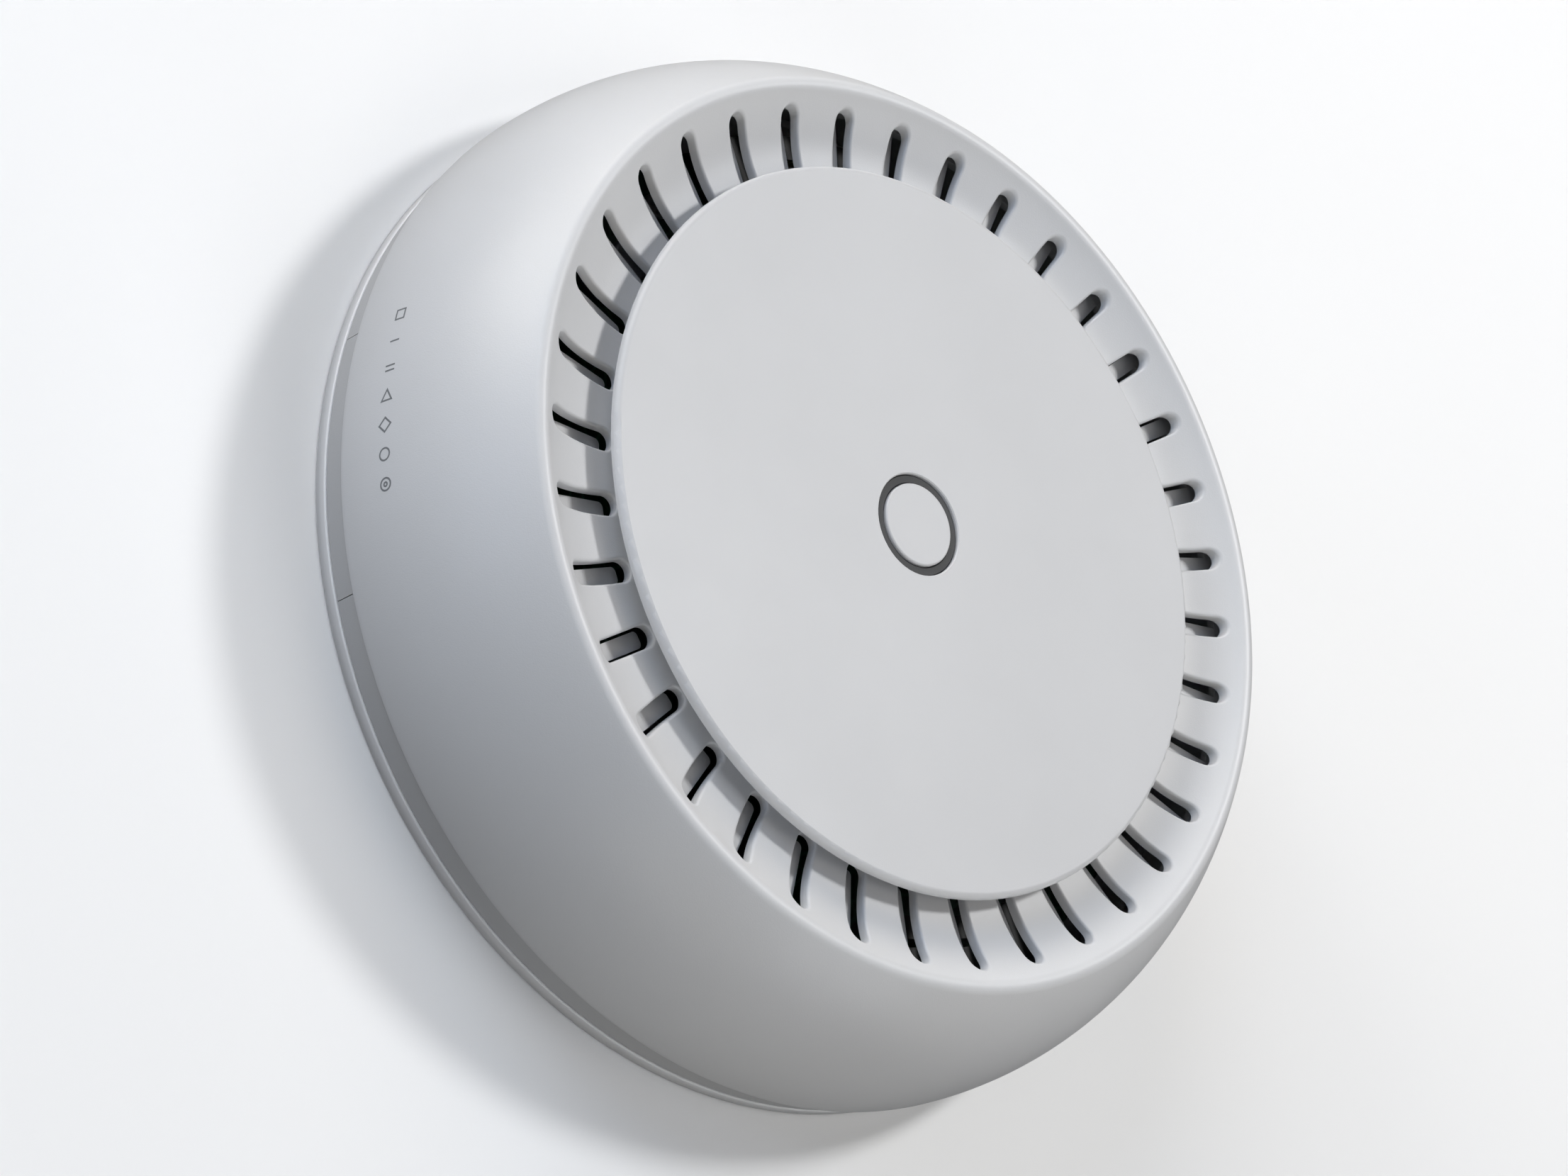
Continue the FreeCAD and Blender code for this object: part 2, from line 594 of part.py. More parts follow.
def mounting_plate():
    rim = 0.35
    corner = on_circle((PLATE_R - rim, PLATE_T - rim), rim, 45)
    plate = turned(outline((0, 0), (PLATE_R, 0), (PLATE_R, PLATE_T - rim), (corner, (PLATE_R - rim, PLATE_T)),
                           (0, PLATE_T)))
    studs = []
    for azimuth in stud_azimuths():
        centre = polar(STUD_CIRCLE_R, azimuth)
        studs.append(tube(STUD_NECK_R, 0, STUD_TOP_Z, x=centre.x, y=centre.y))
        studs.append(tube(STUD_HEAD_R, STUD_HEAD_Z, STUD_TOP_Z, x=centre.x, y=centre.y))
    bump = polar(DETENT_R, DETENT_AZ)
    ball = Part.makeSphere(2.4, V(bump.x, bump.y, PLATE_T - 1.6))
    holes = [rounded_block(-22, 22, -86, -50, -1, PLATE_T + 1, 6.0)]
    for k in range(SCREW_HOLES):
        centre = polar(SCREW_PCD / 2, 45 + k * 360.0 / SCREW_HOLES)
        holes.append(tube(SCREW_HOLE_R, -1, PLATE_T + 1, x=centre.x, y=centre.y))
        seat = V(centre.x, centre.y, PLATE_T - SCREW_HEAD_DEPTH)
        holes.append(Part.makeCone(SCREW_HOLE_R, SCREW_HEAD_R, SCREW_HEAD_DEPTH, seat))
    half = BOX_SLOT_LENGTH / 2
    for x in (-BOX_SLOT_SPACING / 2, BOX_SLOT_SPACING / 2):
        holes.append(stadium(x - half, x + half, 2 * SCREW_HOLE_R, -1, PLATE_T + 1))
    outer = rounded_block(-6, 6, -9, 20, -1, PLATE_T + 1, 1.0)
    inner = rounded_block(-5, 5, -12, 19, -2, PLATE_T + 2, 1.0)
    tongue_gap = outer.cut([inner, block(-7, 7, -12, -8, -2, PLATE_T + 2)])
    tongue_gap.rotate(V(0, 0, 0), UP, DETENT_AZ - 90)
    tongue_gap.translate(polar(DETENT_R - 14, DETENT_AZ))
    holes.append(tongue_gap)
    plate = plate.fuse(studs).cut(holes)
    return plate.fuse(ball.common(tube(BAND_R, 0.5, 10))).removeSplitter()


# Fasteners and small pieces of the case ------------------------------------------------------------

def case_screws():
    return Part.makeCompound([screw(c.x, c.y, CASE_SCREW_SEAT_Z, 16.0, CASE_SCREW_SHANK_R, 2.8, 1.9)
                              for c in case_screw_centres()])


def screw_caps():
    return Part.makeCompound([tube(CAP_R, COVER_Z, COVER_Z + 2.2, x=c.x, y=c.y)
                              for c in case_screw_centres()])


def board_screws():
    return Part.makeCompound([screw(x, y, BOARD_TOP_Z, 8.0, BOARD_SCREW_SHANK_R, 2.5, 1.7, -1)
                              for x, y in POSTS])


# Electronics ---------------------------------------------------------------------------------------

def main_board():
    board = tube(BOARD_R, BOARD_Z, BOARD_TOP_Z)
    holes = [tube(1.5, BOARD_Z, BOARD_TOP_Z, x=x, y=y) for x, y in POSTS]
    return board.cut(holes)


def heat_spreader():
    """Pressed aluminium plate under the board, clear of the recess, the posts and the lock pockets."""
    z0 = 14.5
    z1 = 16.0
    plate = tube(BOARD_R - 5, z0, z1)
    cuts = [block(-RECESS_X - 4, RECESS_X + 4, -100, -36, z0, z1)]
    cuts += [tube(POST_R + 1.5, z0, z1, x=x, y=y) for x, y in POSTS]
    feet = [tube(2.5, COVER_Z + COVER_T, z0, x=x, y=y) for x, y in ((0, 70), (-68, 0), (68, 0))]
    return plate.cut(cuts).fuse(feet).removeSplitter()


def lower_thermal_pad():
    return block(-22, 22, -2, 42, 16.0, BOARD_Z)


def ethernet_jack(x):
    width, depth, height = JACK_SIZE
    mouth_w, mouth_d, mouth_h = JACK_MOUTH
    z0 = BOARD_Z - height
    body = block(x - width / 2, x + width / 2, SOCKET_Y, SOCKET_Y + depth, z0, BOARD_Z)
    front = [e for e in body.Edges if e.BoundBox.YMax < SOCKET_Y + 1e-6]
    body = body.makeChamfer(0.3, front)
    mouth_z = z0 + JACK_FLOOR
    mouth_top = mouth_z + mouth_h
    mouth = block(x - mouth_w / 2, x + mouth_w / 2, SOCKET_Y - 1, SOCKET_Y + mouth_d, mouth_z, mouth_top)
    latch = block(x - 3.1, x + 3.1, SOCKET_Y - 1, SOCKET_Y + mouth_d - 2, mouth_top - 1.6, mouth_top + 2.2)
    return body.cut([mouth, latch])


def ethernet_contacts():
    """Eight sprung contacts in each socket, each leaning up from the mouth towards the back."""
    low = BOARD_Z - JACK_SIZE[2] + JACK_FLOOR
    contacts = []
    for x in JACK_X:
        for k in range(8):
            cx = x + (k - 3.5) * 1.02 - 0.2
            y0 = SOCKET_Y + 2.5
            y1 = y0 + 10.5
            loop = [V(cx, y0, low), V(cx, y1, low + 1.9), V(cx, y1, low + 2.2), V(cx, y0, low + 0.3)]
            loop.append(loop[0])
            contacts.append(Part.Face(Part.makePolygon(loop)).extrude(V(0.4, 0, 0)))
    return Part.makeCompound(contacts)


def dc_jack():
    width, depth, height = DC_SIZE
    z0 = BOARD_Z - height
    middle = z0 + height / 2
    body = block(DC_X - width / 2, DC_X + width / 2, SOCKET_Y, SOCKET_Y + depth, z0, BOARD_Z)
    bore = Part.makeCylinder(DC_BORE_R, 10.0, V(DC_X, SOCKET_Y, middle), V(0, 1, 0))
    rim = Part.makeCone(DC_BORE_R + 0.5, DC_BORE_R, 0.5, V(DC_X, SOCKET_Y, middle), V(0, 1, 0))
    return body.cut([bore, rim])


def dc_jack_pin():
    middle = BOARD_Z - DC_SIZE[2] / 2
    pin = Part.makeCylinder(DC_PIN_R, 9.2, V(DC_X, SOCKET_Y + 0.8, middle), V(0, 1, 0))
    tip = [e for e in pin.Edges if e.BoundBox.YMax < SOCKET_Y + 0.9]
    return pin.makeFillet(0.4, tip)


def reset_button():
    inner_face = RECESS_IN_Y + RECESS_WALL
    shaft = Part.makeCylinder(RESET_R, 5.2, V(RESET_X, RECESS_IN_Y - 0.6, RESET_Z), V(0, 1, 0))
    collar = Part.makeCylinder(RESET_R + 0.8, 1.0, V(RESET_X, inner_face + 0.1, RESET_Z), V(0, 1, 0))
    return shaft.fuse(collar).removeSplitter()


def reset_switch():
    y0 = RECESS_IN_Y - 0.6 + 5.2 + 0.8
    return block(RESET_X - 3, RESET_X + 3, y0, y0 + 4, RESET_Z - 2.5, BOARD_Z)


def parts_on_board(sizes, places):
    """Boxes of given (x, y, height) standing on the board, one at each place."""
    boxes = []
    for (size_x, size_y, height), (x, y) in zip(sizes, places):
        boxes.append(block(x - size_x / 2, x + size_x / 2, y - size_y / 2, y + size_y / 2,
                           BOARD_TOP_Z, BOARD_TOP_Z + height))
    return Part.makeCompound(boxes)


def ethernet_transformers():
    return parts_on_board([(14, 9, 5.5)] * 2, [(x, -38) for x in JACK_X])


def poe_transformer():
    core = rounded_block(18, 31, -46, -34, BOARD_TOP_Z + 1.0, BOARD_TOP_Z + 9.0, 0.8)
    bobbin = block(16.5, 32.5, -44, -36, BOARD_TOP_Z, BOARD_TOP_Z + 3.0)
    return core.fuse(bobbin).removeSplitter()


def power_inductors():
    half = 3.5
    return Part.makeCompound([rounded_block(x - half, x + half, y - half, y + half,
                                            BOARD_TOP_Z, BOARD_TOP_Z + 3.2, 0.8)
                              for x, y in ((42, -30), (42, -20), (52, -25))])


def board_capacitors():
    cans = []
    for x, y in ((36, -52), (46, -48), (-40, -52)):
        can = tube(4.0, BOARD_TOP_Z, BOARD_TOP_Z + 10.0, x=x, y=y)
        top = [e for e in can.Edges if e.BoundBox.ZMin > BOARD_TOP_Z + 9.9]
        cans.append(can.makeFillet(0.6, top))
    return Part.makeCompound(cans)


def processor():
    return block(-8.5, 8.5, 8.5, 25.5, BOARD_TOP_Z, BOARD_TOP_Z + 1.5)


def memory_chips():
    return parts_on_board([(13, 8, 1.1), (13, 8, 1.1)], [(-21, 30), (-21, 12)])


def radio_chips():
    return parts_on_board([(9, 9, 0.9)] * 2, [(-RADIO_X, RADIO_Y), (RADIO_X, RADIO_Y)])


def shield_can(x):
    sheet = 0.3
    outer = block(x - 11, x + 11, RADIO_Y - 14, RADIO_Y + 14, BOARD_TOP_Z, BOARD_TOP_Z + 2.4)
    inner = block(x - 11 + sheet, x + 11 - sheet, RADIO_Y - 14 + sheet, RADIO_Y + 14 - sheet,
                  BOARD_TOP_Z, BOARD_TOP_Z + 2.4 - sheet)
    return outer.cut(inner)


def upper_thermal_pad():
    return block(-10, 10, 7, 27, BOARD_TOP_Z + 1.5, BOARD_TOP_Z + 2.5)


def heat_sink():
    low = BOARD_TOP_Z + 2.5
    base = block(-26, 26, -4, 44, low, low + 2.0)
    fins = [block(x - 0.5, x + 0.5, -4, 44, low + 2.0, BUTTON_BOARD_Z - 2.4) for x in range(-25, 26, 5)]
    return base.fuse(fins).removeSplitter()


def antenna(azimuth):
    """Pressed metal antenna: two legs on the board carrying a curved top plate."""
    half = 13.0
    plate = turned(outline((66.5, 32.5), (76.5, 32.5), (76.5, 33.1), (66.5, 33.1)), 2 * half, -half)
    feed = block(66.5, 67.1, -3.0, -1.0, BOARD_TOP_Z, 32.7)
    ground = block(66.5, 67.1, 6.0, 11.0, BOARD_TOP_Z, 32.7)
    feed.translate(V(0.3, 0, 0))
    ground.translate(V(1.1, 0, 0))
    slot = turned(outline((70.5, 32), (72.0, 32), (72.0, 34), (70.5, 34)), half * 1.6, -half)
    return around(plate.cut(slot).fuse([feed, ground]).removeSplitter(), azimuth)


def antenna_spacers():
    """Plastic posts that hold the free edge of each antenna."""
    post = block(73.5, 75.5, -1.5, 1.5, BOARD_TOP_Z, 32.5)
    return Part.makeCompound([around(post, a + s) for a in ANTENNA_AZ for s in (-5, 5)])


# Status lights -------------------------------------------------------------------------------------

def light_azimuths():
    return [LIGHT_FIRST_AZ + k * LIGHT_STEP for k in range(LIGHTS)]


def status_leds():
    led = block(75.6, 77.4, -1.4, 1.4, BOARD_TOP_Z, BOARD_TOP_Z + 1.3)
    return Part.makeCompound([around(led, a) for a in light_azimuths()])


def led_light_guide():
    """Clear comb that carries each light from the board's edge to the inside of the dome."""
    z0 = BOARD_TOP_Z + 0.1
    z1 = z0 + 1.6
    wall_r = dome_radius(z1, SHELL) - 0.4
    first = light_azimuths()[0] - 1.2
    span = light_azimuths()[-1] + 1.2 - first
    back_bone = turned(outline((79.0, z0), (81.0, z0), (81.0, z1), (79.0, z1)), span, first)
    arm = block(80.5, wall_r, -1.2, 1.2, z0, z1)
    legs = [block(x - 1.5, x + 1.5, -81.0, -79.2, RECESS_TOP_Z + RECESS_WALL, z0 + 0.5) for x in (-12, 6)]
    trimmed = [around(arm, a) for a in light_azimuths()]
    return back_bone.fuse(trimmed + legs).removeSplitter()


def led_gasket():
    """Black foam block with a window for each arm, so that the lights don't mix."""
    z0 = RECESS_TOP_Z + RECESS_WALL
    z1 = z0 + 5.2
    first = light_azimuths()[0] - 2.0
    span = light_azimuths()[-1] + 2.0 - first
    foam = turned(outline((84.0, z0), (90.5, z0), (90.5, z1), (84.0, z1)), span, first)
    window = block(83, 92, -1.3, 1.3, BOARD_TOP_Z, BOARD_TOP_Z + 1.8)
    return foam.cut([around(window, a) for a in light_azimuths()])


# All sub-parts -------------------------------------------------------------------------------------

os.makedirs("parts", exist_ok=True)

save("front_housing", front_housing())
save("vent_baffle_ring", vent_baffle_ring())
save("front_disc", front_disc())
save("disc_screws", disc_screws())
save("button_bezel", button_bezel())
save("mode_button", mode_button())
save("button_spring", button_spring())
save("switch_plunger", switch_plunger())
save("button_switch", button_switch())
save("button_board", button_board())
save("button_board_screws", button_board_screws())
save("button_flex", button_flex())
save("flex_connectors", flex_connectors())
save("mounting_plate", mounting_plate())
save("back_cover", back_cover())
save("rating_label", rating_label())
save("cable_cover", cable_cover())
save("case_screws", case_screws())
save("screw_caps", screw_caps())
save("main_board", main_board())
save("board_screws", board_screws())
save("heat_spreader", heat_spreader())
save("lower_thermal_pad", lower_thermal_pad())
for number, jack_x in enumerate(JACK_X, 1):
    save(f"ethernet_jack_{number}", ethernet_jack(jack_x))
save("ethernet_contacts", ethernet_contacts())
save("dc_jack", dc_jack())
save("dc_jack_pin", dc_jack_pin())
save("reset_button", reset_button())
save("reset_switch", reset_switch())
save("ethernet_transformers", ethernet_transformers())
save("poe_transformer", poe_transformer())
save("power_inductors", power_inductors())
save("board_capacitors", board_capacitors())
save("processor", processor())
save("memory_chips", memory_chips())
save("radio_chips", radio_chips())
for number, can_x in enumerate((-RADIO_X, RADIO_X), 1):
    save(f"shield_can_{number}", shield_can(can_x))
save("upper_thermal_pad", upper_thermal_pad())
save("heat_sink", heat_sink())
for number, azimuth in enumerate(ANTENNA_AZ, 1):
    save(f"antenna_{number}", antenna(azimuth))
save("antenna_spacers", antenna_spacers())
save("status_leds", status_leds())
save("led_light_guide", led_light_guide())
save("led_gasket", led_gasket())
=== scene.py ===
"""Looks of the ceiling access point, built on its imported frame.

Blender's units are metres. The dimensions of the object and of the stage are in millimetres, as in the
CAD source, and MM turns them into metres. Materials, lights and the camera are in metres.
Azimuths are in degrees from +X, and the cable exit is at 270.
"""
import json
import math

import bmesh
import bpy
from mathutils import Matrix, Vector

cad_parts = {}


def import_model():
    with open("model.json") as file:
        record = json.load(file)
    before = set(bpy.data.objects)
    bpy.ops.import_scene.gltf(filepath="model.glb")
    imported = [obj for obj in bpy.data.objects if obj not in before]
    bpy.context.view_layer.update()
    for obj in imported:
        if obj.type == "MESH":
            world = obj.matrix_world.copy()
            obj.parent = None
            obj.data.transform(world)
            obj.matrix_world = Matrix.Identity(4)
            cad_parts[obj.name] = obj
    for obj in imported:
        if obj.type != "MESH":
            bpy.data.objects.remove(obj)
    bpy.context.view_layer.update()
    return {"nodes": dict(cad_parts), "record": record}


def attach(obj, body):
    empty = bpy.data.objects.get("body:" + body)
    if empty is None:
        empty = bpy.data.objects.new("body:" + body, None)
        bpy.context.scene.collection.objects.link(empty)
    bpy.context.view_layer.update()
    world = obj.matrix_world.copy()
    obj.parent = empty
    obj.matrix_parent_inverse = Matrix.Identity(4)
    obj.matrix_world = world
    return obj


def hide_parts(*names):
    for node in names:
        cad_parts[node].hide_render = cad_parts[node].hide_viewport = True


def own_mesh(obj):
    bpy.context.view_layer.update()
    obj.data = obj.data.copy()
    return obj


MM = 0.001

# Section of the front housing, repeated from the CAD source
DOME_CENTRE = (43.6, 11.4)
DOME_ARC_R = 51.9
DOME_EDGE_Z = 9.3
SHELL = 2.2
RIM_ARC_R = 2.0
FRONT_Z = 46.1
TROUGH_ARC_R = 22.0
TROUGH_Z = 40.15
FLOOR_T = 2.0
UNDER_END_R = 79.5
RIM_Z = FRONT_Z - RIM_ARC_R
INNER_TOP_ANGLE = 38.8


def leg(long_side, short_side):
    """Third side of a right triangle."""
    return math.sqrt(long_side ** 2 - short_side ** 2)


def angle_to(centre, point):
    """Direction in degrees from one point (r, z) to another."""
    return math.degrees(math.atan2(point[1] - centre[1], point[0] - centre[0]))


RIM_CENTRE = (DOME_CENTRE[0] + leg(DOME_ARC_R - RIM_ARC_R, RIM_Z - DOME_CENTRE[1]), RIM_Z)
TROUGH_CENTRE_Z = TROUGH_Z + TROUGH_ARC_R
TROUGH_CENTRE_R = RIM_CENTRE[0] - leg(TROUGH_ARC_R + RIM_ARC_R, TROUGH_CENTRE_Z - RIM_Z)
TROUGH_CENTRE = (TROUGH_CENTRE_R, TROUGH_CENTRE_Z)
DOME_TOP_ANGLE = angle_to(DOME_CENTRE, RIM_CENTRE)
TROUGH_TOP_ANGLE = angle_to(TROUGH_CENTRE, RIM_CENTRE)

# Vents, repeated from the CAD source
VENTS = 36
VENT_IN_R = 62.8
VENT_OUT_R = 78.1
VENT_HALF = 1.95
SECTOR = 360.0 / VENTS

# Edges that are sharp in the CAD source: upper and lower of the vents, outer and inner of the dome
VENT_ROUND = 0.5
VENT_LOW_EDGE = 0.15
EDGE_ROUND = 0.3
INNER_EDGE_ROUND = 0.2

# Patch of the trough that holds the vents, the same on its underside, and the floor inside it
PATCH_IN_R = 59.5
PATCH_OUT_R = 79.0
UNDER_OUT_R = 78.8
FLOOR_MIDDLE_R = 30.0
STEM_HOLE_R = 2.25

# Steps of the housing's mesh: across a sector, along a vent, over its edge and along the section's arcs
SECTOR_STEPS = 16
SIDE_STEPS = 20
EDGE_STEPS = 6
TROUGH_STEPS = 2
RIM_STEPS = 22
DOME_STEPS = 44
DOME_EDGE_STEPS = 4
INSIDE_STEPS = 18

# Rows of the patch and of its underside, from the vent's edge (0) to the sector's edge (1)
PATCH_SHARES = (1.0, 0.78, 0.56, 0.36, 0.18, 0.06, 0.0)
UNDER_SHARES = (0.0, 0.3, 0.65, 1.0)

# Vertices nearer than this are joined
WELD = 0.002


# Mesh helpers -------------------------------------------------------------------------------------

def arc(centre, radius, start, end, steps):
    """Points (r, z) along an arc, angles in degrees."""
    points = []
    for k in range(steps + 1):
        angle = math.radians(start + (end - start) * k / steps)
        points.append((centre[0] + radius * math.cos(angle), centre[1] + radius * math.sin(angle)))
    return points


def add_mesh(name, bm, material):
    """Finishes a bmesh as an object with smooth shading."""
    for face in bm.faces:
        face.smooth = True
    mesh = bpy.data.meshes.new(name)
    bm.to_mesh(mesh)
    bm.free()
    mesh.materials.append(material)
    thing = bpy.data.objects.new(name, mesh)
    bpy.context.scene.collection.objects.link(thing)
    return thing


def add_piece(name, bm, body, material, sharp_angle=35.0):
    """Finishes a bmesh as a piece on a CAD body, with edges over an angle in degrees left sharp."""
    bmesh.ops.recalc_face_normals(bm, faces=bm.faces)
    limit = math.radians(sharp_angle)
    for edge in bm.edges:
        edge.smooth = len(edge.link_faces) != 2 or edge.calc_face_angle(0.0) < limit
    thing = add_mesh(name, bm, material)
    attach(thing, body)
    return thing


def place(bm, x, y, z):
    """Vertex at a place in millimetres."""
    return bm.verts.new((x * MM, y * MM, z * MM))


def ring(bm, radius, z, azimuths):
    """Vertices at one radius and height, one per azimuth in degrees."""
    angles = [math.radians(azimuth) for azimuth in azimuths]
    return [place(bm, radius * math.cos(angle), radius * math.sin(angle), z) for angle in angles]


def bridge(bm, first, second, closed=True):
    """Quads between two rows of vertices of the same length."""
    count = len(first)
    for k in range(count if closed else count - 1):
        after = (k + 1) % count
        bm.faces.new((first[k], first[after], second[after], second[k]))


def loft(bm, rows, closed=True):
    """Quads from each row of vertices to the next."""
    for first, second in zip(rows, rows[1:]):
        bridge(bm, first, second, closed)


# Front housing ------------------------------------------------------------------------------------

def trough_height(radius):
    """Height of the trough's surface."""
    if radius <= TROUGH_CENTRE[0]:
        return TROUGH_Z
    return TROUGH_CENTRE_Z - leg(TROUGH_ARC_R, radius - TROUGH_CENTRE[0])


def under_height(radius):
    """Height of the trough's underside."""
    if radius <= TROUGH_CENTRE[0]:
        return TROUGH_Z - FLOOR_T
    return TROUGH_CENTRE_Z - leg(TROUGH_ARC_R + FLOOR_T, radius - TROUGH_CENTRE[0])


def vent_loop(grow):
    """Points (x, y) round a vent along +X, grown outwards: outer end, side, inner end, side."""
    radius = VENT_HALF + grow
    far = VENT_OUT_R - VENT_HALF
    near = VENT_IN_R + VENT_HALF
    points = []
    for k in range(SECTOR_STEPS):
        angle = math.radians(-90 + 180.0 * k / SECTOR_STEPS)
        points.append((far + radius * math.cos(angle), radius * math.sin(angle)))
    for k in range(SIDE_STEPS):
        points.append((far + (near - far) * k / SIDE_STEPS, radius))
    for k in range(SECTOR_STEPS):
        angle = math.radians(90 + 180.0 * k / SECTOR_STEPS)
        points.append((near + radius * math.cos(angle), radius * math.sin(angle)))
    for k in range(SIDE_STEPS):
        points.append((near + (far - near) * k / SIDE_STEPS, -radius))
    return points


def sector_loop(r_in, r_out):
    """Points (x, y) round the edge of one sector, in step with vent_loop."""
    half = SECTOR / 2
    polar = []
    for k in range(SECTOR_STEPS):
        polar.append((r_out, -half + SECTOR * k / SECTOR_STEPS))
    for k in range(SIDE_STEPS):
        polar.append((r_out + (r_in - r_out) * k / SIDE_STEPS, half))
    for k in range(SECTOR_STEPS):
        polar.append((r_in, half - SECTOR * k / SECTOR_STEPS))
    for k in range(SIDE_STEPS):
        polar.append((r_in + (r_out - r_in) * k / SIDE_STEPS, -half))
    return [(r * math.cos(math.radians(a)), r * math.sin(math.radians(a))) for r, a in polar]


def mixed(first, second, share):
    """Points part of the way from one loop to another."""
    return [(a[0] + (b[0] - a[0]) * share, a[1] + (b[1] - a[1]) * share) for a, b in zip(first, second)]


def vent_rows():
    """Closed rows of (x, y, z) from the trough's surface over a vent's edge and down to its underside."""
    rows = []
    edge = vent_loop(VENT_ROUND)
    outside = sector_loop(PATCH_IN_R, PATCH_OUT_R)
    for share in PATCH_SHARES:
        rows.append([(x, y, trough_height(math.hypot(x, y))) for x, y in mixed(edge, outside, share)])
    for k in range(1, EDGE_STEPS + 1):
        angle = math.radians(90.0 * k / EDGE_STEPS)
        grow = VENT_ROUND * (1 - math.sin(angle))
        drop = VENT_ROUND * (1 - math.cos(angle))
        rows.append([(x, y, trough_height(math.hypot(x, y)) - drop) for x, y in vent_loop(grow)])
    wall = vent_loop(0.0)
    rows.append([(x, y, under_height(math.hypot(x, y)) + VENT_LOW_EDGE) for x, y in wall])
    low = vent_loop(VENT_LOW_EDGE)
    under = sector_loop(PATCH_IN_R, UNDER_OUT_R)
    for share in UNDER_SHARES:
        rows.append([(x, y, under_height(math.hypot(x, y))) for x, y in mixed(low, under, share)])
    return rows


def housing_rings():
    """Points (r, z) from the trough's outer part over the ridge, down the dome and up its inside."""
    inner_r = DOME_ARC_R - SHELL
    low_angle = math.degrees(math.asin((DOME_EDGE_Z + EDGE_ROUND - DOME_CENTRE[1]) / DOME_ARC_R))
    inner_low = math.degrees(math.asin((DOME_EDGE_Z + INNER_EDGE_ROUND - DOME_CENTRE[1]) / inner_r))
    inner_edge_r = DOME_CENTRE[0] + inner_r * math.cos(math.radians(inner_low))
    start = angle_to(TROUGH_CENTRE, (PATCH_OUT_R, trough_height(PATCH_OUT_R)))
    points = arc(TROUGH_CENTRE, TROUGH_ARC_R, start, TROUGH_TOP_ANGLE, TROUGH_STEPS)[1:]
    points += arc(RIM_CENTRE, RIM_ARC_R, TROUGH_TOP_ANGLE + 180, DOME_TOP_ANGLE, RIM_STEPS)[1:]
    points += arc(DOME_CENTRE, DOME_ARC_R, DOME_TOP_ANGLE, low_angle, DOME_STEPS)[1:]
    edge_r = points[-1][0]
    round_centre = (edge_r - EDGE_ROUND, DOME_EDGE_Z + EDGE_ROUND)
    points += arc(round_centre, EDGE_ROUND, 0, -90, DOME_EDGE_STEPS)[1:]
    points.append((inner_edge_r + INNER_EDGE_ROUND, DOME_EDGE_Z))
    points += arc(DOME_CENTRE, inner_r, inner_low, INNER_TOP_ANGLE, INSIDE_STEPS)
    points.append((UNDER_END_R, under_height(UNDER_END_R)))
    return points


def front_housing(material):
    """Dome, ridge, trough and vents as one mesh, with rounded edges on the vents."""
    bm = bmesh.new()
    rows = vent_rows()
    for sector in range(VENTS):
        turn = math.radians(sector * SECTOR)
        cos = math.cos(turn)
        sin = math.sin(turn)
        turned = [[(x * cos - y * sin, x * sin + y * cos, z) for x, y, z in row] for row in rows]
        loft(bm, [[place(bm, *point) for point in row] for row in turned])
    azimuths = [-SECTOR / 2 + k * SECTOR / SECTOR_STEPS for k in range(VENTS * SECTOR_STEPS)]
    first = (PATCH_OUT_R, trough_height(PATCH_OUT_R))
    last = (UNDER_OUT_R, under_height(UNDER_OUT_R))
    outer = [first] + housing_rings() + [last]
    floor_z = TROUGH_Z - FLOOR_T
    radii = (PATCH_IN_R, FLOOR_MIDDLE_R, STEM_HOLE_R)
    inner = [(r, TROUGH_Z) for r in radii] + [(r, floor_z) for r in reversed(radii)]
    for section in (outer, inner):
        loft(bm, [ring(bm, radius, z, azimuths) for radius, z in section])
    bmesh.ops.remove_doubles(bm, verts=bm.verts, dist=WELD * MM)
    thing = add_piece("front_housing_shell", bm, "access_point", material)
    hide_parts("front_housing")


# Generic marks on the dome, one for each status light ---------------------------------------------

# Azimuth of the first mark, angle from one to the next, and height
MARK_FIRST_AZ = 256.85
MARK_STEP = 3.15
MARK_Z = 20.8

# Size of the marks, width of their lines, and how far they stand proud of the dome
MARK_SCALE = 0.85
MARK_LINE = 0.32
MARK_PROUD = 0.012

# Rough length of the pieces of a straight run, and least cosine used at a mitred corner
MARK_CUT = 0.3
MITRE_LIMIT = 0.4


def circle_points(radius, steps):
    """Points (x, y) round a circle."""
    angles = [2 * math.pi * k / steps for k in range(steps)]
    return [(radius * math.cos(angle), radius * math.sin(angle)) for angle in angles]


def mark_strokes():
    """Strokes of the seven marks: (points, closed), x towards the front and y along the dome."""
    triangle = [(0, 1.35), (-1.3, -0.95), (1.3, -0.95)]
    square = [(-1.1, -1.1), (1.1, -1.1), (1.1, 1.1), (-1.1, 1.1)]
    diamond = [(0, 1.5), (-1.5, 0), (0, -1.5), (1.5, 0)]
    circle = circle_points(1.25, 28)
    dot = circle_points(0.4, 16)
    return [
        [(square, True)],
        [([(-1.2, 0.0), (1.2, 0.0)], False)],
        [([(-1.2, 0.55), (1.2, 0.55)], False), ([(-1.2, -0.55), (1.2, -0.55)], False)],
        [(triangle, True)],
        [(diamond, True)],
        [(circle, True)],
        [(circle, True), (dot, True)],
    ]


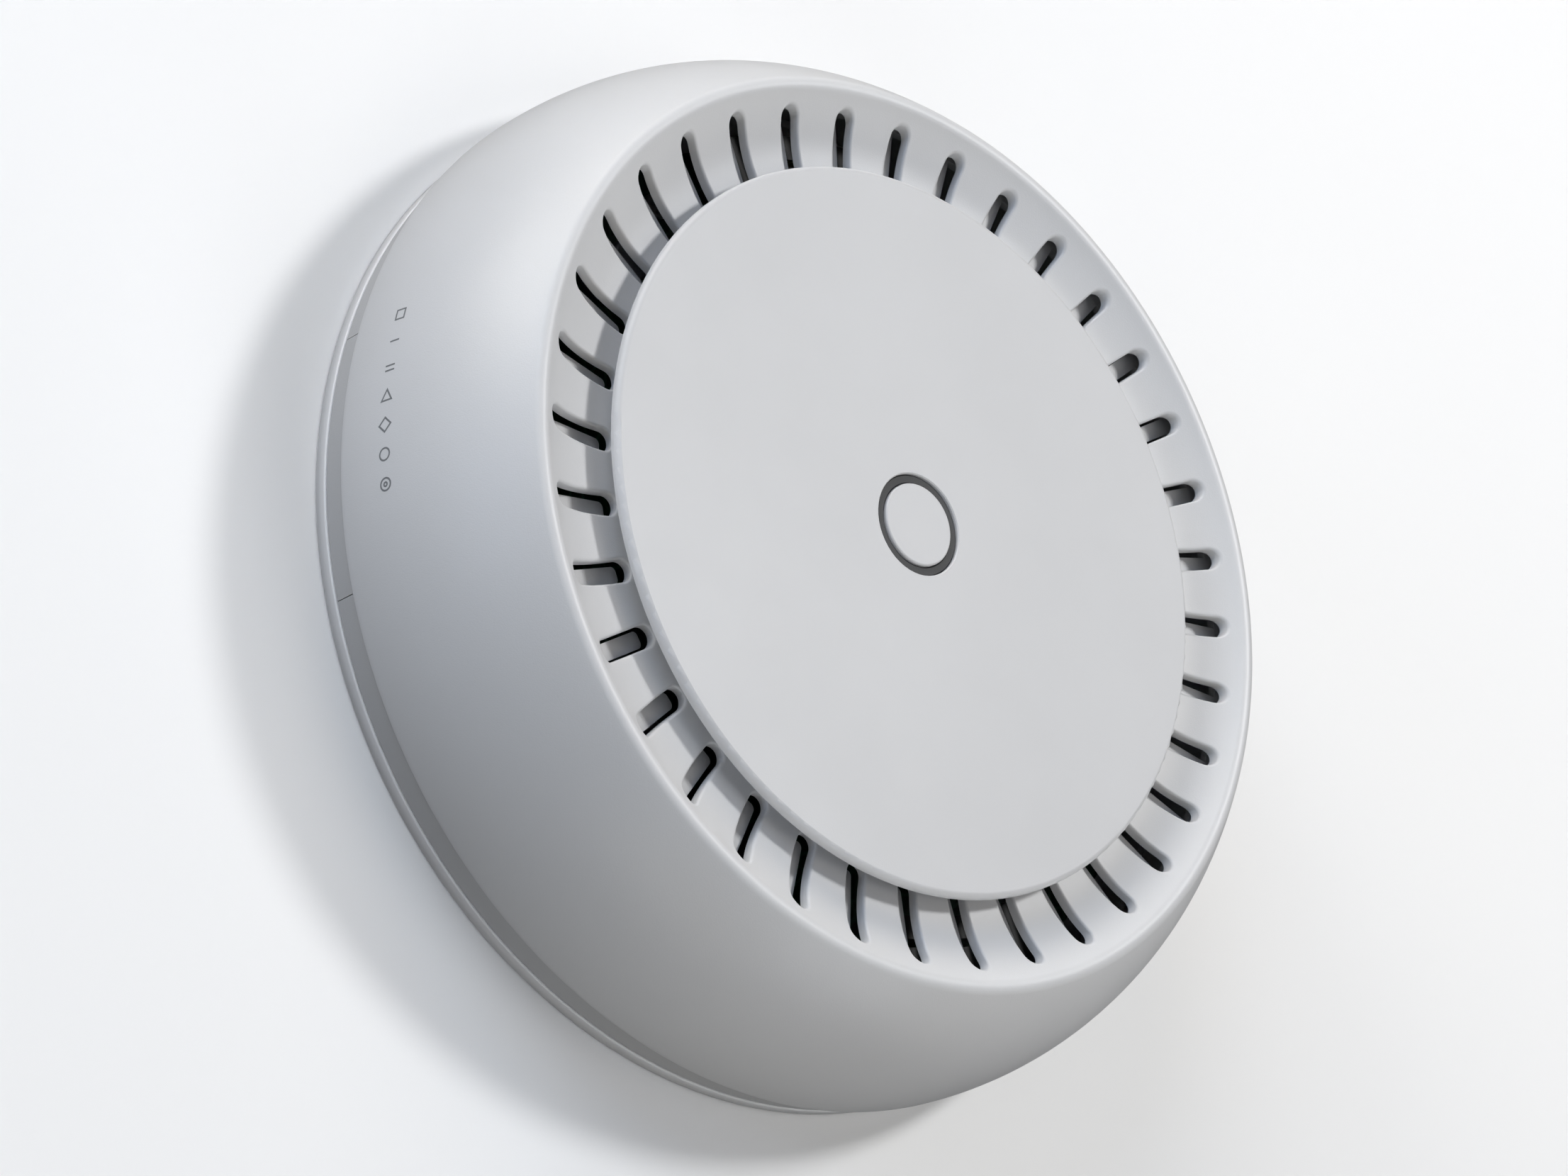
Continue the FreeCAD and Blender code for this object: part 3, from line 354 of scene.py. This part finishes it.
def stroke_sides(points, closed):
    """Left and right edges of a stroke with mitred corners, cut finely along straight runs."""
    fine = []
    count = len(points)
    for k in range(count if closed else count - 1):
        a = Vector(points[k]) * MARK_SCALE
        b = Vector(points[(k + 1) % count]) * MARK_SCALE
        steps = max(1, int((b - a).length / MARK_CUT))
        fine += [a.lerp(b, s / steps) for s in range(steps)]
    if not closed:
        fine.append(Vector(points[-1]) * MARK_SCALE)
    left = []
    right = []
    count = len(fine)
    for k, point in enumerate(fine):
        before = fine[k - 1] if closed or k > 0 else point - (fine[1] - point)
        after = fine[(k + 1) % count] if closed or k < count - 1 else point + (point - fine[k - 1])
        first = (point - before).normalized()
        second = (after - point).normalized()
        normal = Vector((-first.y - second.y, first.x + second.x)).normalized()
        stretch = 1.0 / max(MITRE_LIMIT, normal.dot(Vector((-first.y, first.x))))
        left.append(point + normal * (MARK_LINE / 2 * stretch))
        right.append(point - normal * (MARK_LINE / 2 * stretch))
    return left, right


def dome_radius(z):
    """Radius of the dome's surface at a height."""
    return DOME_CENTRE[0] + leg(DOME_ARC_R, z - DOME_CENTRE[1])


def status_marks(material):
    """The seven marks, as strips just proud of the dome."""
    bm = bmesh.new()
    for k, strokes in enumerate(mark_strokes()):
        centre = MARK_FIRST_AZ + k * MARK_STEP
        for points, closed in strokes:
            rows = []
            for side in stroke_sides(points, closed):
                row = []
                for point in side:
                    z = MARK_Z + point.x
                    radius = dome_radius(z) + MARK_PROUD
                    angle = math.radians(centre) - point.y / radius
                    row.append(place(bm, radius * math.cos(angle), radius * math.sin(angle), z))
                rows.append(row)
            bridge(bm, rows[0], rows[1], closed)
    thing = add_piece("status_marks", bm, "access_point", material)
    for polygon in thing.data.polygons:
        centre = polygon.center
        if polygon.normal.dot(Vector((centre.x, centre.y, 0))) < 0:
            polygon.flip()


# Coil spring of the centre button -----------------------------------------------------------------

DISC_TOP_Z = 45.3
SPRING_WIRE_R = 0.25
SPRING_MEAN_R = 4.2
SPRING_TURNS = 3
SPRING_TURN_STEPS = 48
SPRING_SIDES = 12
SPRING_GAP = 0.02
BUTTON_CAP_T = 2.0
SPRING_LOW_Z = TROUGH_Z + SPRING_WIRE_R + SPRING_GAP
SPRING_HIGH_Z = DISC_TOP_Z - BUTTON_CAP_T - SPRING_WIRE_R - SPRING_GAP


def button_spring(material):
    """Coil spring under the button's cap."""
    bm = bmesh.new()
    steps = SPRING_TURN_STEPS * SPRING_TURNS
    last_side = 360 - 360 // SPRING_SIDES
    rows = []
    for k in range(steps + 1):
        angle = 2 * math.pi * SPRING_TURNS * k / steps
        height = SPRING_LOW_Z + (SPRING_HIGH_Z - SPRING_LOW_Z) * k / steps
        section = arc((SPRING_MEAN_R, height), SPRING_WIRE_R, 0, last_side, SPRING_SIDES - 1)
        rows.append([place(bm, r * math.cos(angle), r * math.sin(angle), z) for r, z in section])
    loft(bm, rows)
    bm.faces.new(rows[0])
    bm.faces.new(rows[-1])
    thing = add_piece("button_spring_coil", bm, "access_point", material)
    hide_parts("button_spring")
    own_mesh(thing)


# Faces of the base: the mounting plate's edge, the band above it and the cable cover in the band --

PLATE_R = 94.0
PLATE_T = 2.6
PLATE_EDGE_R = 0.35
BAND_R = 93.9
BAND_LOW_Z = 2.9
BAND_TOP_Z = 9.1
BAND_ROUND = 0.3

# Cable cover: azimuth, half the angle of its opening, and the gap beside it in degrees
COVER_AZ = 270.0
COVER_HALF_ANGLE = 14.6
COVER_GAP_ANGLE = 0.08

# Faces: how far they stand proud and reach in, their steps in degrees and on a rounding, sharp edges
SKIN = 0.02
SKIN_DEPTH = 0.8
SKIN_STEP = 0.5
SKIN_ROUND_STEPS = 6
SKIN_SHARP_ANGLE = 50.0
PLATE_CHAMFER = 0.1


def skin(name, section, first, last, body, material):
    """Turned strip between two azimuths, whose outer side stands just proud of the CAD surface."""
    bm = bmesh.new()
    whole = last - first >= 360.0
    steps = int((last - first) / SKIN_STEP)
    count = steps if whole else steps + 1
    azimuths = [first + (last - first) * k / steps for k in range(count)]
    rows = [ring(bm, radius, z, azimuths) for radius, z in section]
    loft(bm, rows + rows[:1], whole)
    if not whole:
        bm.faces.new([row[0] for row in rows])
        bm.faces.new([row[-1] for row in rows])
    thing = add_piece(name, bm, body, material, SKIN_SHARP_ANGLE)


def base_faces():
    """Smooth outer faces of the plate's edge, the band and the cable cover."""
    inner_r = PLATE_R - SKIN_DEPTH
    outer_r = PLATE_R + SKIN
    edge = [(inner_r, SKIN), (outer_r - PLATE_CHAMFER, SKIN), (outer_r, SKIN + PLATE_CHAMFER)]
    round_centre = (PLATE_R - PLATE_EDGE_R, PLATE_T - PLATE_EDGE_R)
    edge += arc(round_centre, PLATE_EDGE_R + SKIN, 0, 90, SKIN_ROUND_STEPS)
    edge.append((inner_r, PLATE_T + SKIN))
    skin("plate_edge_face", edge, 0.0, 360.0, "ceiling_plate", MATERIALS["white_plate"])
    inner_r = BAND_R - SKIN_DEPTH
    band = [(inner_r, BAND_LOW_Z - SKIN)]
    round_centre = (BAND_R - BAND_ROUND, BAND_LOW_Z + BAND_ROUND)
    band += arc(round_centre, BAND_ROUND + SKIN, -90, 0, SKIN_ROUND_STEPS)
    band += [(BAND_R + SKIN, BAND_TOP_Z), (inner_r, BAND_TOP_Z)]
    # The band and the cable cover take the white darkened as painted shade
    half = COVER_HALF_ANGLE
    low, high = COVER_AZ + half, COVER_AZ + 360.0 - half
    skin("band_face", band, low, high, "access_point", BAND_PAINTED_SHADE)
    half = COVER_HALF_ANGLE - COVER_GAP_ANGLE
    low, high = COVER_AZ - half, COVER_AZ + half
    skin("cable_cover_face", band, low, high, "cable_cover", BAND_PAINTED_SHADE)


# Materials ----------------------------------------------------------------------------------------

class Nodes:
    """Small helper that builds one material's node tree."""

    def __init__(self, name):
        self.material = bpy.data.materials.new(name)
        self.material.use_nodes = True
        self.tree = self.material.node_tree
        self.shader = self.tree.nodes["Principled BSDF"]
        self.coords = self.tree.nodes.new("ShaderNodeTexCoord").outputs["Object"]

    def noise(self, scale, detail=2.0, roughness=0.5):
        node = self.tree.nodes.new("ShaderNodeTexNoise")
        node.inputs["Scale"].default_value = scale
        node.inputs["Detail"].default_value = detail
        node.inputs["Roughness"].default_value = roughness
        self.tree.links.new(self.coords, node.inputs["Vector"])
        return node.outputs["Fac"]

    def ramp(self, value, low, high, low_colour, high_colour):
        node = self.tree.nodes.new("ShaderNodeValToRGB")
        node.color_ramp.elements[0].position = low
        node.color_ramp.elements[1].position = high
        node.color_ramp.elements[0].color = (*low_colour, 1)
        node.color_ramp.elements[1].color = (*high_colour, 1)
        self.tree.links.new(value, node.inputs["Fac"])
        return node.outputs["Color"]

    def span(self, value, low, high):
        node = self.tree.nodes.new("ShaderNodeMapRange")
        node.inputs["To Min"].default_value = low
        node.inputs["To Max"].default_value = high
        self.tree.links.new(value, node.inputs["Value"])
        return node.outputs["Result"]

    def bump(self, value, strength, distance):
        node = self.tree.nodes.new("ShaderNodeBump")
        node.inputs["Strength"].default_value = strength
        node.inputs["Distance"].default_value = distance
        self.tree.links.new(value, node.inputs["Height"])
        self.link(node.outputs["Normal"], "Normal")

    def link(self, value, socket):
        self.tree.links.new(value, self.shader.inputs[socket])


def shade(colour, factor):
    """Colour made darker or lighter."""
    return tuple(min(1.0, c * factor) for c in colour)


CLOUD_TINT = 0.02
CLOUD_ROUGHNESS = 0.03


def moulded(name, colour, roughness, grain=0.00006, specular=0.5):
    """Moulded plastic: faint cloudiness in its colour, and a fine spark-eroded grain."""
    n = Nodes(name)
    cloud = n.noise(scale=26.0, detail=3.0)
    dark = shade(colour, 1 - CLOUD_TINT)
    light = shade(colour, 1 + CLOUD_TINT)
    n.link(n.ramp(cloud, 0.3, 0.7, dark, light), "Base Color")
    patches = n.noise(scale=140.0)
    n.link(n.span(patches, roughness - CLOUD_ROUGHNESS, roughness + CLOUD_ROUGHNESS), "Roughness")
    n.shader.inputs["Specular IOR Level"].default_value = specular
    n.bump(n.noise(scale=4200.0, roughness=0.6), strength=0.35, distance=grain)
    return n.material


def metal(name, colour, roughness, stretch=(1.0, 1.0, 1.0)):
    """Plated or plain metal with fine marks, drawn out where the stretch is under 1."""
    n = Nodes(name)
    mapping = n.tree.nodes.new("ShaderNodeMapping")
    mapping.inputs["Scale"].default_value = stretch
    n.tree.links.new(n.coords, mapping.inputs["Vector"])
    n.coords = mapping.outputs["Vector"]
    marks = n.noise(scale=900.0, detail=4.0, roughness=0.6)
    n.link(n.ramp(marks, 0.3, 0.7, shade(colour, 0.9), shade(colour, 1.05)), "Base Color")
    n.link(n.span(marks, roughness - 0.06, roughness + 0.08), "Roughness")
    n.shader.inputs["Metallic"].default_value = 1.0
    n.bump(marks, strength=0.2, distance=0.00003)
    return n.material


def circuit_board(name):
    """Dark green solder mask over a faint pattern of tracks."""
    n = Nodes(name)
    voronoi = n.tree.nodes.new("ShaderNodeTexVoronoi")
    voronoi.feature = "DISTANCE_TO_EDGE"
    voronoi.distance = "MANHATTAN"
    voronoi.inputs["Scale"].default_value = 260.0
    n.tree.links.new(n.coords, voronoi.inputs["Vector"])
    tracks = voronoi.outputs["Distance"]
    n.link(n.ramp(tracks, 0.05, 0.09, (0.020, 0.085, 0.045), (0.007, 0.040, 0.020)), "Base Color")
    n.shader.inputs["Roughness"].default_value = 0.3
    n.bump(tracks, strength=0.3, distance=0.00004)
    return n.material


def soft(name, colour, roughness, pore_scale):
    """Rubber or foam with open pores."""
    n = Nodes(name)
    pores = n.noise(scale=pore_scale, detail=3.0, roughness=0.7)
    n.link(n.ramp(pores, 0.35, 0.65, shade(colour, 0.7), shade(colour, 1.15)), "Base Color")
    n.shader.inputs["Roughness"].default_value = roughness
    n.shader.inputs["Specular IOR Level"].default_value = 0.3
    n.bump(pores, strength=0.5, distance=0.0002)
    return n.material


def clear_guide(name):
    """Clear acrylic."""
    n = Nodes(name)
    n.link(n.ramp(n.noise(scale=60.0), 0.3, 0.7, (0.93, 0.95, 0.96), (0.98, 0.99, 1.0)), "Base Color")
    n.shader.inputs["Roughness"].default_value = 0.08
    n.shader.inputs["Transmission Weight"].default_value = 0.9
    n.shader.inputs["IOR"].default_value = 1.49
    n.bump(n.noise(scale=300.0), strength=0.05, distance=0.00005)
    return n.material


# The shell's white is lighter than the disc's, as painted light that lifts the shaded lands of the trough
WHITE = (0.672, 0.675, 0.683)

MATERIALS = {
    "white_shell": moulded("white_shell", WHITE, 0.42),
    "disc_white": moulded("disc_white", (0.60, 0.602, 0.61), 0.46, grain=0.00004),
    # The plate's white is the shell's lightened by 1.12, as painted light on the plate's edge
    "white_plate": moulded("white_plate", shade(WHITE, 1.12), 0.45),
    "dark_grey_plastic": moulded("dark_grey_plastic", (0.040, 0.041, 0.042), 0.5, specular=0.3),
    "black_plastic": moulded("black_plastic", (0.012, 0.012, 0.013), 0.4),
    "ivory_plastic": moulded("ivory_plastic", (0.62, 0.54, 0.36), 0.45),
    "zinc_steel": metal("zinc_steel", (0.58, 0.58, 0.56), 0.35),
    "spring_steel": metal("spring_steel", (0.5, 0.5, 0.5), 0.3),
    "jack_shell": metal("jack_shell", (0.58, 0.57, 0.54), 0.34, (1.0, 0.15, 1.0)),
    "tinned_steel": metal("tinned_steel", (0.55, 0.55, 0.53), 0.42, (0.2, 1.0, 1.0)),
    "nickel": metal("nickel", (0.70, 0.68, 0.63), 0.15),
    "gold_contact": metal("gold_contact", (0.83, 0.58, 0.22), 0.25),
    "plain_aluminium": metal("plain_aluminium", (0.72, 0.73, 0.74), 0.42, (1.0, 0.08, 1.0)),
    "circuit_board": circuit_board("circuit_board"),
    "flex_film": moulded("flex_film", (0.72, 0.70, 0.62), 0.25),
    "chip_black": moulded("chip_black", (0.016, 0.016, 0.018), 0.5),
    "ferrite": moulded("ferrite", (0.04, 0.04, 0.043), 0.7),
    "capacitor_can": metal("capacitor_can", (0.58, 0.60, 0.64), 0.3),
    "thermal_pad": soft("thermal_pad", (0.22, 0.30, 0.38), 0.7, 1800.0),
    "grey_rubber": soft("grey_rubber", (0.50, 0.50, 0.50), 0.65, 2500.0),
    "foam_black": soft("foam_black", (0.016, 0.016, 0.016), 0.9, 1500.0),
    "led_lens": moulded("led_lens", (0.72, 0.66, 0.40), 0.2),
    "clear_guide": clear_guide("clear_guide"),
    "label_film": moulded("label_film", (0.70, 0.70, 0.69), 0.3),
}

# Colours that differ from the piece's slot; the band's and the antennas' are darkened as painted shade
# The shell's white darkened by 0.78, as painted shade under the dome's overhang
BAND_PAINTED_SHADE = moulded("band_painted_shade", shade(WHITE, 0.78), 0.5)
MARK_INK = moulded("mark_ink", (0.20, 0.207, 0.215), 0.5)
# Antennas darkened to near black, as painted shade in the gaps of the vents
ANTENNA_PAINTED_SHADE = metal("antenna_painted_shade", (0.045, 0.045, 0.045), 0.6)
ANTENNAS = ("antenna_1", "antenna_2", "antenna_3", "antenna_4")


# Stage, lights and camera -------------------------------------------------------------------------

LIGHT_TARGET = (0.0, 0.0, 0.03)

# Name, azimuth and elevation in degrees, distance and diameter in metres, power in watts, colour
LIGHTS = (
    ("key", 123.0, 55.0, 1.4, 0.22, 8.2, (1.0, 1.0, 1.0)),
    ("side", 197.0, 20.0, 1.3, 0.8, 4.9, (1.13, 1.01, 0.86)),
    ("high_side", 225.0, 35.0, 1.3, 0.8, 2.6, (0.74, 0.96, 1.30)),
    ("low_side", 225.0, 10.0, 1.3, 0.6, 7.3, (1.03, 1.01, 0.96)),
    ("low_front", 262.0, 14.0, 1.3, 0.6, 2.45, (0.82, 0.96, 1.22)),
    ("low_corner", 345.0, 14.0, 1.3, 0.6, 2.2, (1.08, 1.02, 0.90)),
    ("low_right", 20.0, 15.0, 1.3, 0.6, 3.1, (0.95, 0.99, 1.06)),
    ("right", 60.0, 60.0, 1.4, 0.8, 2.8, (1.04, 1.0, 0.96)),
)

WORLD_COLOUR = (0.97, 1.0, 1.03, 1)
WORLD_STRENGTH = 0.125

# The world's light rises from nothing to full between minus this and this, as the Z of a direction
HORIZON = 0.01

# Turned floor, with a cove and a wall round it
FLOOR_Z = -0.2
FLOOR_MID_R = 500.0
FLOOR_R = 3500.0
COVE_R = 1000.0
WALL_H = 4500.0
STAGE_STEPS = 96
COVE_STEPS = 12

# Distances in metres where the stage's glow begins and where it is full
GLOW_START = 0.8
GLOW_FULL = 1.7
GLOW_STRENGTH = 0.85


def area_light(name, azimuth, elevation, distance, size, power, colour):
    """Round light that is aimed at the object."""
    data = bpy.data.lights.new(name, "AREA")
    data.shape = "DISK"
    data.size = size
    data.energy = power
    data.color = colour
    light = bpy.data.objects.new(name, data)
    a = math.radians(azimuth)
    e = math.radians(elevation)
    offset = Vector((math.cos(e) * math.cos(a), math.cos(e) * math.sin(a), math.sin(e))) * distance
    light.location = Vector(LIGHT_TARGET) + offset
    light.rotation_euler = offset.to_track_quat("Z", "Y").to_euler()
    bpy.context.scene.collection.objects.link(light)


def stage_part(name, section, material):
    """Turned part of the stage, which neither lights the object nor shows in it."""
    bm = bmesh.new()
    azimuths = [360.0 * k / STAGE_STEPS for k in range(STAGE_STEPS)]
    loft(bm, [ring(bm, radius, z, azimuths) for radius, z in section])
    thing = add_mesh(name, bm, material)
    thing.visible_diffuse = False
    thing.visible_glossy = False
    return thing


def pale(name):
    """Matt pale surface with a faint glow far from the object, which keeps the background light."""
    n = Nodes(name)
    dark = (0.965, 0.965, 0.965)
    light = (0.975, 0.975, 0.975)
    n.link(n.ramp(n.noise(scale=8.0), 0.3, 0.7, dark, light), "Base Color")
    n.shader.inputs["Roughness"].default_value = 0.9
    n.shader.inputs["Emission Color"].default_value = (1.0, 1.0, 1.0, 1)
    distance = n.tree.nodes.new("ShaderNodeVectorMath")
    distance.operation = "LENGTH"
    n.tree.links.new(n.coords, distance.inputs[0])
    glow = n.tree.nodes.new("ShaderNodeMapRange")
    glow.inputs["From Min"].default_value = GLOW_START
    glow.inputs["From Max"].default_value = GLOW_FULL
    glow.inputs["To Max"].default_value = GLOW_STRENGTH
    n.tree.links.new(distance.outputs["Value"], glow.inputs["Value"])
    n.link(glow.outputs["Result"], "Emission Strength")
    return n.material


def floor_and_backdrop():
    """Round floor that turns up into a wall far behind."""
    surface = pale("floor")
    stage_part("floor", [(radius, FLOOR_Z) for radius in (0.0, FLOOR_MID_R, FLOOR_R)], surface)
    cove = arc((FLOOR_R, FLOOR_Z + COVE_R), COVE_R, -90, 0, COVE_STEPS)
    backdrop = stage_part("backdrop", cove + [(FLOOR_R + COVE_R, WALL_H)], surface)
    backdrop.visible_shadow = False


def world():
    """Faint light from above the horizon only."""
    studio = bpy.data.worlds.new("studio")
    bpy.context.scene.world = studio
    studio.use_nodes = True
    tree = studio.node_tree
    background = tree.nodes["Background"]
    background.inputs["Color"].default_value = WORLD_COLOUR
    direction = tree.nodes.new("ShaderNodeTexCoord").outputs["Generated"]
    split = tree.nodes.new("ShaderNodeSeparateXYZ")
    tree.links.new(direction, split.inputs["Vector"])
    upper = tree.nodes.new("ShaderNodeMapRange")
    upper.inputs["From Min"].default_value = -HORIZON
    upper.inputs["From Max"].default_value = HORIZON
    upper.inputs["To Max"].default_value = WORLD_STRENGTH
    tree.links.new(split.outputs["Z"], upper.inputs["Value"])
    tree.links.new(upper.outputs["Result"], background.inputs["Strength"])


def stage():
    floor_and_backdrop()
    world()
    for light in LIGHTS:
        area_light(*light)
    bpy.context.scene.view_settings.view_transform = "Standard"


CAMERA_PLACE = (0.25510, -0.41831, 0.49969)
CAMERA_TURN = (22.063, -40.210, 89.187)
SENSOR_WIDTH = 36.0
LENS = 88.87
CLIP_NEAR = 0.01
CLIP_FAR = 20.0


def camera():
    """Camera that looks at the front and the status lights' side."""
    data = bpy.data.cameras.new("camera")
    data.sensor_width = SENSOR_WIDTH
    data.lens = LENS
    data.clip_start = CLIP_NEAR
    data.clip_end = CLIP_FAR
    thing = bpy.data.objects.new("camera", data)
    thing.location = CAMERA_PLACE
    thing.rotation_euler = [math.radians(angle) for angle in CAMERA_TURN]
    bpy.context.scene.collection.objects.link(thing)
    bpy.context.scene.camera = thing


# Build --------------------------------------------------------------------------------------------

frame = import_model()

camera()
stage()

slots = {row["node"]: row["material_slot"] for row in frame["record"]["subparts"]}
for node, thing in frame["nodes"].items():
    thing.data.materials.clear()
    # The antennas take the near-black painted shade
    thing.data.materials.append(ANTENNA_PAINTED_SHADE if node in ANTENNAS else MATERIALS[slots[node]])

front_housing(MATERIALS["white_shell"])
status_marks(MARK_INK)
base_faces()
button_spring(MATERIALS["spring_steel"])
